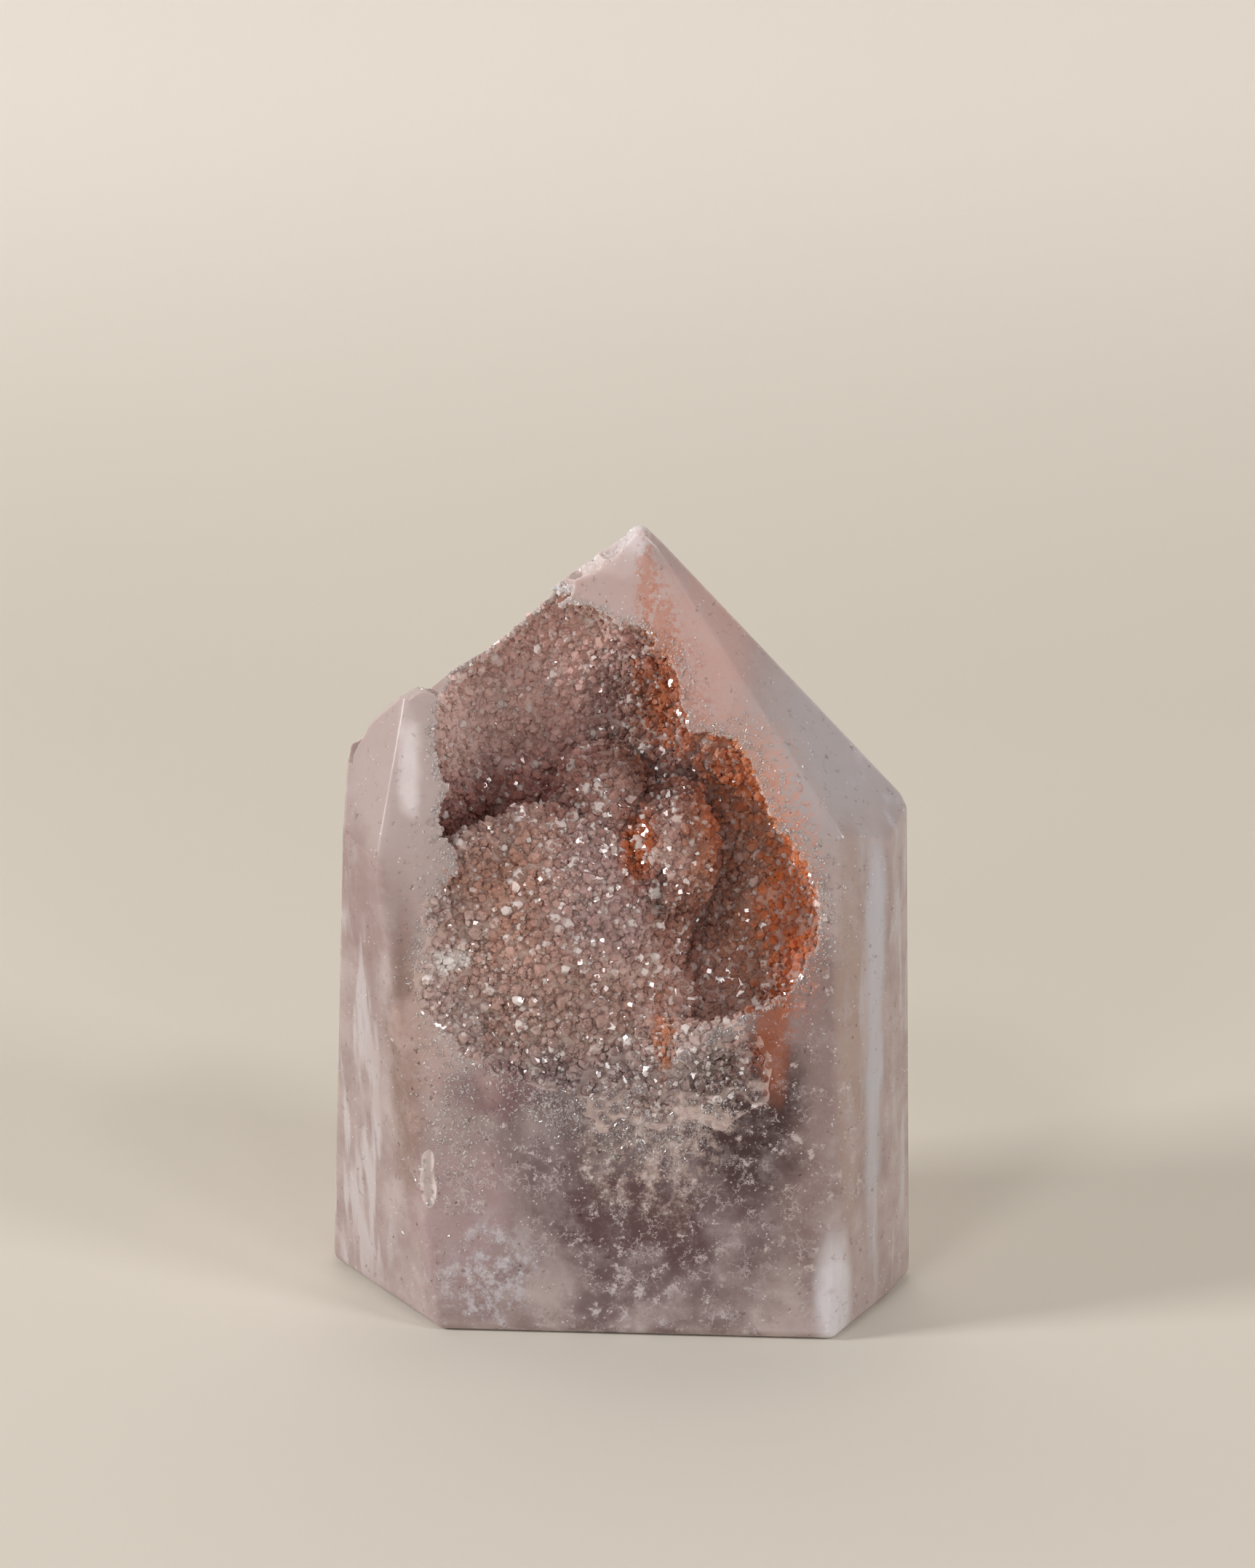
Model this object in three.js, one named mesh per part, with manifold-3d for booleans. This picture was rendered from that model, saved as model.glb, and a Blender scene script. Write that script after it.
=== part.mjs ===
/*
  Pink amethyst tower: one natural stone, ground to flat facets with softly rounded edges and polished,
  standing on its flat base with a point off the middle. A hollow opens on its front and breaks out
  through the upper left. The hollow is lined with one crust of small six-sided quartz crystals.

  Millimetres, +Z up. The front looks along -Y and the stone's right side is +X. The origin is on the
  ground in the middle of the stone's box.
*/
import * as THREE from 'three';
import { ConvexGeometry } from 'three/addons/geometries/ConvexGeometry.js';
import { mergeVertices } from 'three/addons/utils/BufferGeometryUtils.js';
import Module from 'manifold-3d';

const wasm = await Module();
wasm.setup();

// Each facet: the way it faces, in degrees from the front towards the right, how far it faces up,
// and how far it lies from the point on the ground that the facets are measured from.
const FACETS = [
  { name: 'front', turn: -3.4, lean: 6, reach: 9.0 },
  { name: 'right bevel', turn: 38, lean: 4.5, reach: 19.1 },
  { name: 'right', turn: 60, lean: 0, reach: 20.8 },
  { name: 'right side', turn: 68, lean: 0.2, reach: 22.15 },
  { name: 'back right', turn: 128, lean: 3, reach: 22.9 },
  { name: 'back', turn: 178, lean: 3.5, reach: 21.0 },
  { name: 'back left', turn: -128, lean: 3.5, reach: 27.0 },
  { name: 'left side', turn: -92, lean: 2.8, reach: 27.0 },
  { name: 'left', turn: -56, lean: -2.2, reach: 18.2 },
  { name: 'left shoulder', turn: -52, lean: 18.9, reach: 31.9 },
  { name: 'top front', turn: -4.2, lean: 18.6, reach: 18.3 },
  { name: 'top right', turn: 47, lean: 37.3, reach: 41.2 },
  { name: 'top back right', turn: 125, lean: 35.4, reach: 44.2 },
  { name: 'top back', turn: 178, lean: 30, reach: 41.2 },
  { name: 'top left', turn: -121, lean: 47.8, reach: 53.5 },
  { name: 'base', turn: 0, lean: -90, reach: 0 },
];
const EDGE_ROUND = 1.0; // radius that polishing left on the edges between the facets
const EDGE_STEPS = 1; // subdivision of the ball that rounds the edges

// The hollow is a few rounded chambers that run into each other: middle, and radius along X, Y and Z.
const CHAMBERS = [
  { name: 'upper', at: [-6.8, 4, 51], size: [11.4, 10, 13.5] },
  { name: 'behind the front mass', at: [-7, 3, 42], size: [13, 9, 11] },
  { name: 'middle', at: [-2.5, 3, 51], size: [9.5, 9, 12] },
  { name: 'right', at: [5, 1, 43], size: [10.5, 8.5, 12] },
  { name: 'lower right', at: [7, -2.5, 37.5], size: [11, 7.5, 11] },
  { name: 'front scoop', at: [-4.5, -10, 35], size: [18.5, 9, 14] },
];

// Rounded lumps of the stone stand up inside the hollow.
const LUMPS = [
  { name: 'front mass', at: [-8.5, 2.2, 33.5], size: [13.5, 5.8, 11] },
  { name: 'foot of the front mass', at: [-6, 2.5, 26], size: [12.5, 6.3, 9] },
  { name: 'far lump', at: [-2, 9, 44], size: [4.2, 6.5, 4.5] },
  { name: 'near lump', at: [3.6, 6, 40.5], size: [4, 7.5, 5.5] },
];
const WALL_DETAIL = 2; // subdivision of a rounded body's surface
const WALL_RIPPLE = 0.04; // unevenness of the walls, as a share of their radius

// Chips out of the polished skin, not lined with crystals.
const CHIPS = [
  { name: 'break near the apex', at: [-2.2, 4.7, 70.3], size: [2.6, 3, 2.6] },
  { name: 'break down the ridge', at: [-5.4, 4.2, 68.2], size: [3.2, 3.2, 2.6] },
  { name: 'chip on the left edge', at: [-17.9, -7.4, 16.5], size: [0.9, 0.7, 1.9] },
];

// A rounded horn ends the hollow's rim at the left. The stone around its tip is ground away.
const HORN = { at: [-18.6, 1, 47.5], size: [5.6, 8, 8.85] };
const GROUND_AWAY = { at: [-20.5, 4, 59], size: [6.5, 11, 9] };

const CRUST_GAP = 0.3; // air between the stone and the crust
const CRUST_THICKNESS = 0.8;
const CRUST_RIM_DEPTH = 0.5; // the crust stops this far under the polished facets
const CRYSTAL_SPACING = 2.95;
const CRYSTAL_WIDTH = [2.1, 3.4];
const CRYSTAL_ROOT = 0.3; // depth of a crystal's root in the crust
const CRYSTAL_TILT = 0.45; // how far a crystal leans away from straight out of the wall
const CRYSTAL_TRIES = 1200; // candidate places on each rounded body
const SEED = 7;

function randomSource(seed) {
  let state = seed;
  return () => {
    state = (state * 1664525 + 1013904223) % 4294967296;
    return state / 4294967296;
  };
}

// A closed geometry with shared corners becomes a solid that can be joined and cut.
function toSolid(geometry) {
  const bare = geometry.clone();
  bare.deleteAttribute('normal');
  bare.deleteAttribute('uv');
  const merged = mergeVertices(bare, 1e-4);
  return new wasm.Manifold(new wasm.Mesh({
    numProp: 3,
    vertProperties: new Float32Array(merged.attributes.position.array),
    triVerts: new Uint32Array(merged.index.array),
  }));
}

function toGeometry(solid) {
  const { vertProperties, triVerts } = solid.getMesh();
  const geometry = new THREE.BufferGeometry();
  geometry.setAttribute('position', new THREE.BufferAttribute(vertProperties, 3));
  geometry.setIndex(new THREE.BufferAttribute(triVerts, 1));
  return geometry;
}

function facetNormal({ turn, lean }) {
  const a = THREE.MathUtils.degToRad(turn);
  const e = THREE.MathUtils.degToRad(lean);
  return new THREE.Vector3(Math.sin(a) * Math.cos(e), -Math.cos(a) * Math.cos(e), Math.sin(e));
}

const FACET_PLANES = FACETS.map((facet) => ({ normal: facetNormal(facet), reach: facet.reach }));

// Depth of a point under the nearest facet: positive inside the stone.
function depthInStone(point) {
  return Math.min(...FACET_PLANES.map(({ normal, reach }) => reach - normal.dot(point)));
}

// Corners of the stone with every facet moved in by inset: where three facets meet inside all others.
function stoneCorners(inset) {
  const corners = [];
  const planes = FACET_PLANES;
  for (let i = 0; i < planes.length; i++) {
    for (let j = i + 1; j < planes.length; j++) {
      for (let k = j + 1; k < planes.length; k++) {
        const [a, b, c] = [planes[i], planes[j], planes[k]];
        const bc = b.normal.clone().cross(c.normal);
        const size = a.normal.dot(bc);
        if (Math.abs(size) < 1e-6) continue;
        const corner = bc.multiplyScalar(a.reach - inset)
          .addScaledVector(c.normal.clone().cross(a.normal), b.reach - inset)
          .addScaledVector(a.normal.clone().cross(b.normal), c.reach - inset)
          .divideScalar(size);
        if (depthInStone(corner) > inset - 1e-5) corners.push(corner);
      }
    }
  }
  return corners;
}

// The stone before the hollow: a ball rolled over every corner of the facets moved in by inset, and the
// skin stretched over all of them, less the chips and what is ground away around the horn.
function polishedStone(inset = 0) {
  const ball = mergeVertices(bareSphere(EDGE_STEPS));
  const points = [];
  for (const corner of stoneCorners(EDGE_ROUND + inset)) {
    for (let i = 0; i < ball.attributes.position.count; i++) {
      const point = new THREE.Vector3().fromBufferAttribute(ball.attributes.position, i);
      points.push(point.multiplyScalar(EDGE_ROUND).add(corner));
    }
  }
  const losses = CHIPS.map((chip) => roundedBody(chip, inset));
  losses.push(roundedBody(GROUND_AWAY, inset).subtract(roundedBody(HORN, -inset)));
  return losses.reduce((rest, loss) => rest.subtract(loss), toSolid(new ConvexGeometry(points)));
}

function bareSphere(detail) {
  const sphere = new THREE.IcosahedronGeometry(1, detail);
  sphere.deleteAttribute('normal');
  sphere.deleteAttribute('uv');
  return sphere;
}

// Unevenness of a rounded body in a direction from its middle.
function swell({ x, y, z }) {
  const ripple = Math.sin(5.1 * x + 1.3) * Math.sin(4.3 * y + 0.4) + Math.sin(6.2 * z + 2.1) * Math.sin(3.7 * x);
  return 1 + WALL_RIPPLE * ripple;
}

// The point of a rounded body's surface in a direction, with all its radii grown by grow.
function surfacePoint({ at, size }, direction, grow = 0) {
  const radii = new THREE.Vector3(...size).addScalar(grow);
  return direction.clone().multiply(radii).multiplyScalar(swell(direction)).add(new THREE.Vector3(...at));
}

function roundedBody(body, grow) {
  const sphere = bareSphere(WALL_DETAIL);
  const position = sphere.attributes.position;
  for (let i = 0; i < position.count; i++) {
    const point = surfacePoint(body, new THREE.Vector3().fromBufferAttribute(position, i), grow);
    position.setXYZ(i, point.x, point.y, point.z);
  }
  return toSolid(sphere);
}

// The hollow with its walls moved by grow: outwards into the stone when positive.
function hollow(grow) {
  const air = CHAMBERS.map((chamber) => roundedBody(chamber, grow)).reduce((sum, next) => sum.add(next));
  return LUMPS.map((lump) => roundedBody(lump, -grow)).reduce((rest, lump) => rest.subtract(lump), air);
}

function isInside({ at, size }, point) {
  const local = point.clone().sub(new THREE.Vector3(...at)).divide(new THREE.Vector3(...size));
  return local.length() < swell(local.clone().normalize());
}

// Places for crystals, evenly spread on the walls of the hollow and on its lumps.
function crystalPlaces(random) {
  const places = [];
  const bodies = [...LUMPS, ...CHAMBERS];
  for (const body of bodies) {
    const isLump = LUMPS.includes(body);
    for (let i = 0; i < CRYSTAL_TRIES; i++) {
      const direction = new THREE.Vector3().setFromSphericalCoords(
        1, Math.acos(1 - 2 * random()), 2 * Math.PI * random());
      const spot = surfacePoint(body, direction);
      if (depthInStone(spot) < 0.8) continue;
      if (LUMPS.some((lump) => lump !== body && isInside(lump, spot))) continue;
      const open = CHAMBERS.some((chamber) => chamber !== body && isInside(chamber, spot));
      if (open !== isLump) continue;
      if (places.some((place) => place.spot.distanceTo(spot) < CRYSTAL_SPACING)) continue;
      const outward = direction.divide(new THREE.Vector3(...body.size)).normalize();
      places.push({ spot, out: isLump ? outward : outward.negate() });
    }
  }
  return places;
}

// A quartz crystal of the druse: only its six-sided point stands out of the crust.
function quartzPoint(place, random) {
  const width = THREE.MathUtils.lerp(CRYSTAL_WIDTH[0], CRYSTAL_WIDTH[1], random() ** 2);
  const points = [new THREE.Vector3(0, 0, width * (0.55 + 0.25 * random()))];
  for (let side = 0; side < 6; side++) {
    const a = side * Math.PI / 3;
    points.push(new THREE.Vector3(Math.cos(a) * width / 2, Math.sin(a) * width / 2, -CRYSTAL_ROOT));
  }
  const lean = new THREE.Vector3(random() - 0.5, random() - 0.5, random() - 0.5).multiplyScalar(2 * CRYSTAL_TILT);
  const axis = place.out.clone().add(lean).normalize();
  const turn = new THREE.Quaternion().setFromAxisAngle(axis, random() * Math.PI);
  turn.multiply(new THREE.Quaternion().setFromUnitVectors(new THREE.Vector3(0, 0, 1), axis));
  const start = place.spot.clone().addScaledVector(place.out, CRUST_GAP + CRUST_THICKNESS);
  return new ConvexGeometry(points.map((point) => point.applyQuaternion(turn).add(start)));
}

function joinAll(solids) {
  let layer = solids;
  while (layer.length > 1) {
    const next = [];
    for (let i = 0; i < layer.length; i += 2) {
      next.push(i + 1 < layer.length ? layer[i].add(layer[i + 1]) : layer[i]);
    }
    layer = next;
  }
  return layer[0];
}

function drusyCrust() {
  const random = randomSource(SEED);
  const space = hollow(-CRUST_GAP);
  const skin = space.subtract(hollow(-CRUST_GAP - CRUST_THICKNESS));
  const crystals = crystalPlaces(random).map((place) => toSolid(quartzPoint(place, random)));
  return joinAll([skin, ...crystals]).intersect(space).intersect(polishedStone(CRUST_RIM_DEPTH));
}

// The largest connected body of a geometry. It drops the loose splinters that the cuts can leave.
function largestBody(geometry) {
  const index = Array.from(geometry.index.array);
  const leader = Array.from({ length: geometry.attributes.position.count }, (_, i) => i);
  const find = (i) => {
    let top = i;
    while (leader[top] !== top) top = leader[top];
    leader[i] = top;
    return top;
  };
  for (let i = 0; i < index.length; i += 3) {
    leader[find(index[i])] = find(index[i + 1]);
    leader[find(index[i + 1])] = find(index[i + 2]);
  }
  const triangles = new Map();
  for (let i = 0; i < index.length; i += 3) {
    const body = find(index[i]);
    triangles.set(body, [...(triangles.get(body) ?? []), index[i], index[i + 1], index[i + 2]]);
  }
  const largest = [...triangles.values()].reduce((best, next) => (next.length > best.length ? next : best));
  geometry.setIndex(largest);
  return geometry;
}

const tower = toGeometry(polishedStone().subtract(hollow(0)));
const crust = largestBody(toGeometry(drusyCrust()));

// The origin moves to the middle of the stone's box on the ground.
tower.computeBoundingBox();
const middle = tower.boundingBox.getCenter(new THREE.Vector3());
for (const geometry of [tower, crust]) {
  geometry.translate(-middle.x, -middle.y, -tower.boundingBox.min.z);
}

function piece(name, geometry, material) {
  const mesh = new THREE.Mesh(geometry, new THREE.MeshStandardMaterial(material));
  mesh.name = name;
  return mesh;
}

const amethyst = new THREE.Group();
amethyst.add(
  piece('tower', tower, { color: 0xb3a1a2, roughness: 0.22, metalness: 0 }),
  piece('druse_crust', crust, { color: 0xa58078, roughness: 0.3, metalness: 0 }),
);

export default amethyst;
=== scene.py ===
import bpy
import bmesh
import math
import random
from mathutils import Matrix, Quaternion, Vector, noise


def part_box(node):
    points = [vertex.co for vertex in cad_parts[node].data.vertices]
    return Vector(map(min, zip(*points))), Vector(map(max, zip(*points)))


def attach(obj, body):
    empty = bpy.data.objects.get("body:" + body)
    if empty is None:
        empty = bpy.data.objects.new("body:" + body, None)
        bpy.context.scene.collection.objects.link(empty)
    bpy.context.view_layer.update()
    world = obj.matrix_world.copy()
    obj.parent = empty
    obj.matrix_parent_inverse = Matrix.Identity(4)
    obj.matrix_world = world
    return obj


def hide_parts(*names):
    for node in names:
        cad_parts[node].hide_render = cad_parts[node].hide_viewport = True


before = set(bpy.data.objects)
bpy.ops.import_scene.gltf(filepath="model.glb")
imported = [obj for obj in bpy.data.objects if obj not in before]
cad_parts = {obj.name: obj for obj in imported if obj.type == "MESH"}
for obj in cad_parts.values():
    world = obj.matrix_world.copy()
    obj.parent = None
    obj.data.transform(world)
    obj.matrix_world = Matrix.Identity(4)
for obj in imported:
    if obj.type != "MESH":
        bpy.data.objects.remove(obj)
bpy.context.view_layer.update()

# Pink amethyst tower: a freeform stone with a druse-lined hollow on its front.
# Lengths are written in millimetres and turned to metres by MM.
MM = 0.001
SEED = 11

# Facets of the polished stone: the way each faces, in degrees from the front towards the right, how far
# it faces up, and how far it lies from the ground point that the facets are measured from.
FACETS = (
    ("front", -3.4, 6.0, 9.0),
    ("right bevel", 38.0, 4.5, 19.1),
    ("right", 60.0, 0.0, 20.8),
    ("right side", 68.0, 0.2, 22.15),
    ("back right", 128.0, 3.0, 22.9),
    ("back", 178.0, 3.5, 21.0),
    ("back left", -128.0, 3.5, 27.0),
    ("left side", -92.0, 2.8, 27.0),
    ("left", -56.0, -2.2, 18.2),
    ("left shoulder", -52.0, 18.9, 31.9),
    ("top front", -4.2, 18.6, 18.3),
    ("top right", 47.0, 37.3, 41.2),
    ("top back right", 125.0, 35.4, 44.2),
    ("top back", 178.0, 30.0, 41.2),
    ("top left", -121.0, 47.8, 53.5),
    ("base", 0.0, -90.0, 0.0),
)
BLOCK = 300.0  # side of the rough block that the facets are cut from
EDGE_ROUND = 1.0  # radius that the polish leaves on edges and corners
BALL_STEPS = 3
CUT_GAP = 1e-7  # points this near a cutting plane, in metres, count as lying on it
FLAT_WITHIN = 0.4  # faces that turn less than this, in degrees, are one facet
CELL = 2.4  # size of the cells that the facets are divided in, so that their shading stays even
SHARP_FROM = 35.0  # degrees between two faces from which the edge looks sharp

# Rounded bodies of the hollow: middle and radii. The same values as the solid's.
CHAMBERS = (
    ("upper", (-6.8, 4, 51), (11.4, 10, 13.5)),
    ("behind the front mass", (-7, 3, 42), (13, 9, 11)),
    ("middle", (-2.5, 3, 51), (9.5, 9, 12)),
    ("right", (5, 1, 43), (10.5, 8.5, 12)),
    ("lower right", (7, -2.5, 37.5), (11, 7.5, 11)),
    ("front scoop", (-4.5, -10, 35), (18.5, 9, 14)),
)
# Below the hollow the polish has only just reached the crystals: a shallow patch, pitted all over.
SHALLOW_PATCH = ("shallow patch", (-0.5, -12.6, 27.2), (20, 6.6, 17.5))
LUMPS = (
    ("front mass", (-8.5, 2.2, 33.5), (13.5, 5.8, 11)),
    ("foot of the front mass", (-6, 2.5, 26), (12.5, 6.3, 9)),
    ("far lump", (-2, 9, 44), (4.2, 6.5, 4.5)),
    ("near lump", (3.6, 6, 40.5), (4, 7.5, 5.5)),
)
# Breaks along the ridge beside the point, rough like sugar.
BREAKS = (
    ("break near the apex", (-2.2, 4.7, 70.3), (2.6, 3, 2.6)),
    ("break down the ridge", (-5.4, 4.2, 68.2), (3.2, 3.2, 2.6)),
    ("break at the ridge's end", (-7.7, 3.3, 65.8), (3.3, 3.4, 2.4)),
)
BREAK_STEPS = 5
BREAK_ROUGH = 0.09  # how far the broken face juts in and out
# Small pieces that are chipped off, and a slit where two crystals meet.
CHIPS = (
    ("broken tip over the hollow", (-5.8, -3.2, 64.1), (1.9, 1.9, 1.6)),
    ("chip on the left edge", (-17.5, -6.9, 14.6), (0.8, 0.85, 3.0)),
    ("dark slit", (-1.4, -5.6, 26.7), (1.2, 1.8, 0.4)),
)
# A rounded horn ends the hollow's rim at the left. The stone around its tip is ground away.
HORN = ("horn", (-18.6, 1, 47.5), (5.6, 8, 8.85))
GROUND_AWAY = ("ground away around the horn", (-23, 4, 58.5), (9, 12, 9.5))
HORN_TEETH_FROM = -16.5  # the horn's side that faces the hollow, right of this x, is set with crystals
TEETH_GAP = 0.2  # those crystals keep this far out of the hollow, whose wall has its own
# Crystals near the ground-away stone stand this far out of it, or this deep in the horn.
GROUND_GAP = 0.3
HORN_DEPTH = -0.2
WALL_STEPS = 4
PATCH_STEPS = 6
# Pits that the polish has left open: they crowd along the hollow's rim and thin out away from it.
PITS = 260
PIT_LIFT = 0.55  # as a share of the radius: how far a pit's crystal is drawn out of the stone
PIT_RADIUS = (0.1, 0.34)
PIT_TILT = 0.6
PIT_GAP = 0.2  # the nearest ones lie this far from the rim
PIT_BELT = 0.8  # how far from the rim most of them lie
LOWER_PIT_BELT = 3.2  # below the hollow they reach further
LOWER_FROM = 32.0
STRAY_PITS = 0.004  # the chance of a pit far from the hollow
# Sugary crystals that edge the rim of the hollow, sunk almost level with the polished skin.
RIM_POINTS = 4500
RIM_RADIUS = (0.12, 0.3)
RIM_TILT = 0.3
RIM_SINK = 0.75  # as a share of the radius
RIM_LOWEST = 4.0  # none grows on the ground base or beside it
RIM_BELT = 0.16
LIP_BELT = 0.5  # at the right the sugary edge is wider
LIP_FROM = Vector((1.0, 0.0, 34.0))  # the lip lies right of this x and above this z
# Here the druse runs out in the polished skin: middle and radii, and how far the crystals spread around it.
RUN_OUTS = (
    ("left of the front mass", (-15, -6, 29), (1.5, 3, 9)),
    ("beads below the hollow", (0, -8, 24), (8.5, 4, 6)),
)
RUN_OUT_BELT = 0.9
WALL_RIPPLE = 0.04
WALL_RELIEF = ((3.2, 0.45), (1.3, 0.22))  # swellings of the druse: their width and height
WALL_INSET = 0.2  # the wall lies this far in from the solid's hollow, and the crystals cross the rest
INSIDE_POLISH = 0.1  # a place on the wall counts from this far inside the polished facets
SKIN = -1.0  # a margin this low takes in the polished skin itself

# Quartz crystals of the druse: radius, and how many tries each size gets per square millimetre of wall.
CRYSTAL_SIZES = ((0.75, 0.05), (0.6, 0.4), (0.48, 1.8), (0.38, 4.0))
CRYSTAL_CROWDING = 0.8  # spacing of two crystals, as a share of their radii's sum
CRYSTAL_SPREAD = (0.88, 1.12)  # each size varies by this much
CRYSTAL_TILT = 0.45
# Shares of the crystal's radius: its root in the wall, its tip, and the ball that holds all of it.
CRYSTAL_ROOT = 1.0
CRYSTAL_TIP = 1.5
CRYSTAL_REACH = 1.65
# Heights of a crystal's three main end faces and of the lesser ones between them, as shares of its tip.
MAIN_FACES = (0.82, 1.02)
LESSER_FACES = (0.72, 0.88)
QUARTZ_IOR = 1.544
TIP_SLOPE = 51.8  # quartz's end faces lean this far from the crystal's axis, in degrees
CRYSTAL_SHAPES = 12
# Finer points that grow all over the larger crystals, and some larger ones that stand out.
FINE_POINTS = 16400
FINE_RADIUS = (0.14, 0.3)
TALL_POINTS = 700
TALL_RADIUS = (0.26, 0.48)
FINE_UNEVEN = (0.8, 1.2)  # how much longer one edge of a fine point is than another
FINE_STRETCH = 1.15
POINTS_SPARE = 1.3  # places tried for each point, as some lie outside the polish
TIP_GAP = 0.3  # a point's tip stays this far inside the polish, as a share of its radius
GRAIN = (0.05, 1.0)  # each crystal's own value, which sets how pale it is
LAYER_AIR = 0.02  # gap between two crystals that are cut or joined at once

# The photograph's view: a long lens, a little above the stone.
CAMERA_ELEVATION = 19.0
CAMERA_DISTANCE = 430.0
CAMERA_TARGET = (0, 0, 48.5)
SENSOR_LONG_SIDE = 36.0
PIXELS_PER_MM = 15.85
PHOTO_HEIGHT_PX = 2156

# Soft lights around the stone, in metres: name, place, side of the square and watts. All are white.
LIGHTS = (
    ("left_light", (-0.88, -0.19, 0.42), 0.22, 5.7),
    ("right_light", (0.78, -0.45, 0.42), 0.22, 2.7),
    ("front_left_light", (-0.42, -0.85, 0.55), 0.18, 0.85),
    ("front_right_light", (0.35, -0.95, 0.3), 0.18, 1.05),
    ("upper_left_light", (-0.35, -0.6, 0.75), 0.13, 0.85),
    ("upper_right_light", (0.4, -0.55, 0.8), 0.13, 0.8),
    ("top_light", (0.0, 0.35, 1.1), 0.3, 1.2),
)
LIT_POINT = (0, 0, 0.03)
ROOM_COLOUR = "#ecdccb"
ROOM_LIGHT = 0.12

# Colour zones of the stone: name, colour, strength, middle, radii, how soft the edge is and how broken up.
POLISHED_ZONES = (
    ("lower front", "#6a5558", 0.85, (2, -9, 15), (16, 7, 14), 0.45, 0.45),
    ("right strip", "#8d7572", 0.8, (15.5, -8, 24), (3.5, 6, 15), 0.3, 0.5),
    ("purple, right", "#43282a", 1.0, (10.4, -7.5, 20.5), (4.8, 6, 7.5), 0.4, 0.4),
    ("purple, middle", "#5c3f41", 0.85, (1.0, -8.5, 10.5), (7.5, 6, 4.2), 0.45, 0.7),
    ("purple, left", "#856366", 0.8, (-13, -6, 22.5), (4, 5, 3), 0.5, 0.6),
    ("lilac, left", "#b09798", 0.8, (-14.5, -7, 11.5), (4.5, 6, 6), 0.5, 0.6),
    ("brown seam", "#8d7167", 0.9, (-19.5, -5, 25), (1.6, 4, 13), 0.4, 0.3),
    ("horn", "#c0aeab", 0.9, (-19.5, -1, 52), (6, 8, 12), 0.4, 0.5),
    ("apex", "#e4dadb", 0.9, (-0.9, 3, 69.6), (3.4, 6, 2.9), 0.15, 0.5),
    ("broken ridge, upper", "#f8f2f3", 0.95, (-3.8, 4.1, 67.6), (2.6, 2.2, 1.7), 0.2, 0.5),
    ("broken ridge, lower", "#f8f2f3", 0.95, (-7.2, 3.6, 65.2), (2.8, 2.2, 1.6), 0.2, 0.5),
    ("pink facet", "#cfaba3", 0.8, (6, 0, 60), (5, 6, 9), 0.5, 0.4),
    # The grey facet is partly the stone's greyer tone and partly a painted reflection of the pale
    # surroundings on the right-hand facets.
    ("grey facet", "#bdb6b8", 0.85, (19, 1, 53), (8, 12, 9), 0.5, 0.4),
    ("bevel", "#b09a90", 0.8, (19.3, -6.2, 27), (1.3, 4, 22), 0.4, 0.3),
    ("pale band", "#c4c2c8", 0.85, (21.6, -4.2, 30), (0.8, 2.5, 20), 0.5, 0.6),
    ("smooth top", "#cdb4ae", 0.8, (-1, 2, 64.5), (5, 6, 4), 0.4, 0.3),
    ("frosted patch on the horn", "#ebe2e2", 0.8, (-18.9, -1, 50.5), (1.1, 3, 4.5), 0.4, 0.6),
    ("left shoulder", "#9b807c", 0.8, (-24, 2, 38), (4.5, 8, 6), 0.5, 0.4),
    ("back left rim", "#cdb0a8", 0.8, (-11, 12, 58), (6, 3.5, 9), 0.4, 0.4),
    ("beside the mass", "#ccb1aa", 0.7, (-16, -6, 29), (3.5, 4, 9), 0.5, 0.9),
    ("end of the stain", "#9a5a40", 0.8, (12.6, -5.6, 28.5), (1.2, 4, 5.5), 0.5, 0.9),
    ("white corner", "#dcd8dc", 0.9, (18.4, -9.6, 3), (1.8, 3, 7), 0.4, 0.4),
)
# White moss-like inclusions: name, colour, noise limits, middle, radii, softness and break-up.
MOSS = (
    ("cream patch", "#b09b93", 0.46, 0.55, (2.6, -7.5, 18.5), (5, 5, 6), 0.5, 0.8),
    ("lower cloud", "#cbc8cf", 0.45, 0.62, (-11, -8, 6), (4, 5, 4), 0.6, 0.7),
    ("foot", "#c0b6b9", 0.52, 0.62, (0, -9, 0), (24, 6, 6), 0.4, 0.8),
    ("front", "#cdc0be", 0.56, 0.62, (2, -8, 18), (18, 6, 18), 0.3, 0.8),
    ("right strip", "#c4b4b2", 0.55, 0.62, (14, -8, 22), (5, 5, 16), 0.3, 0.6),
)
# White streaks drawn out along the sides: name, colour, noise limits, strength, middle, radii, softness and
# break-up.
STREAKS = (
    ("right side", "#c9c6cb", 0.5, 0.72, 0.7, (24, 4, 28), (6, 14, 34), 0.3, 0.4),
    ("left side", "#cdc4c6", 0.48, 0.62, 0.8, (-27, 3, 18), (6, 12, 22), 0.3, 0.4),
)
# Hairline veins in the front: middle, radii, softness and break-up, and how wide they are drawn in the noise.
VEINED_FRONT = ((1, -8, 16), (17, 6, 16), 0.3, 0.6)
VEIN_WIDTH = 0.012
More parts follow.
